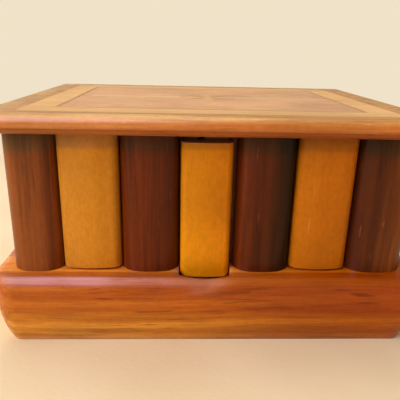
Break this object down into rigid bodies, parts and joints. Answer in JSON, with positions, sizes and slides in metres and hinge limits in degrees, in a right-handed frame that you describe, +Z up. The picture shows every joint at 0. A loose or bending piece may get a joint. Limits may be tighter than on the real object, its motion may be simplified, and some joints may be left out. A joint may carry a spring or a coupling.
{
  "type": "puzzle box",
  "caption": "Wooden secret box with book-spine slats, a sliding slat over the keyhole, a hidden key drawer in the base and a hinged inlaid lid.",
  "frame": {"origin": "middle of the underside, on the surface that the box stands on", "axes": "+Z up, -Y out of the front with the sliding slat, +X along the long side to the right of the front"},
  "size_m": [0.1318, 0.1032, 0.0707],
  "materials": {
    "dark_wood": "varnished dark wood",
    "light_wood": "varnished honey-coloured wood",
    "red_wood": "varnished reddish wood",
    "lid_wood": "varnished reddish-tan wood",
    "pale_inlay": "pale inlaid wood",
    "burl_inlay": "pinkish burr inlay",
    "brown_inlay": "brown inlaid line",
    "inside_wood": "plain inner wood",
    "brass": "satin brass",
    "steel": "plain sheet steel"
  },
  "bodies": {
    "case": {"bottom_board": "inside_wood", "floor_board": "inside_wood", "drawer_runners": "inside_wood", "front_wall": "inside_wood", "back_wall": "inside_wood", "left_wall": "inside_wood", "right_wall": "inside_wood", "front_moulding": "red_wood", "back_moulding": "red_wood", "right_moulding": "red_wood", "front_slat_1": "dark_wood", "front_slat_2": "light_wood", "front_slat_3": "dark_wood", "front_slat_5": "dark_wood", "front_slat_6": "light_wood", "front_slat_7": "dark_wood", "back_slat_1": "dark_wood", "back_slat_2": "light_wood", "back_slat_3": "dark_wood", "back_slat_4": "light_wood", "back_slat_5": "dark_wood", "back_slat_6": "light_wood", "back_slat_7": "dark_wood", "left_slat_1": "light_wood", "left_slat_2": "dark_wood", "left_slat_3": "light_wood", "left_slat_4": "dark_wood", "left_slat_5": "light_wood", "right_slat_1": "light_wood", "right_slat_2": "dark_wood", "right_slat_3": "light_wood", "right_slat_4": "dark_wood", "right_slat_5": "light_wood", "lock_case": "steel", "lock_screws": "steel", "keyhole_plate": "brass", "plate_pins": "brass", "case_leaf_left": "brass", "case_leaf_right": "brass", "case_leaf_screws": "brass", "hinge_pins": "steel"},
    "slider": {"centre_slat": "light_wood", "slat_runner": "inside_wood"},
    "drawer": {"left_moulding": "red_wood", "key_tray": "inside_wood"},
    "loose_key": {"key": "brass"},
    "bolt": {"lock_bolt": "brass"},
    "lid": {"lid_board": "lid_wood", "outer_line": "brown_inlay", "light_band": "pale_inlay", "inner_line": "brown_inlay", "lid_field": "burl_inlay", "centre_line": "pale_inlay", "star_light": "pale_inlay", "star_dark": "brown_inlay", "lid_leaf_left": "brass", "lid_leaf_right": "brass", "lid_screws": "brass", "strike_plate": "brass"}
  },
  "joints": [
    {"name": "slat_slide", "type": "slide", "parent": "case", "child": "slider", "axis": [0, 0, -1], "range_m": [-0.0022, 0.0148]},
    {"name": "drawer_pull", "type": "slide", "parent": "case", "child": "drawer", "axis": [-1, 0, 0], "range_m": [0, 0.062]},
    {"name": "key_slide", "type": "slide", "parent": "drawer", "child": "loose_key", "axis": [1, 0, 0], "range_m": [0, 0.01]},
    {"name": "lid_hinge", "type": "hinge", "parent": "case", "child": "lid", "pos_m": [0, 0.04665, 0.06525], "axis": [-1, 0, 0], "range_deg": [0, 98]},
    {"name": "bolt_throw", "type": "slide", "parent": "case", "child": "bolt", "axis": [0, 0, 1], "range_m": [0, 0.0035]}
  ]
}
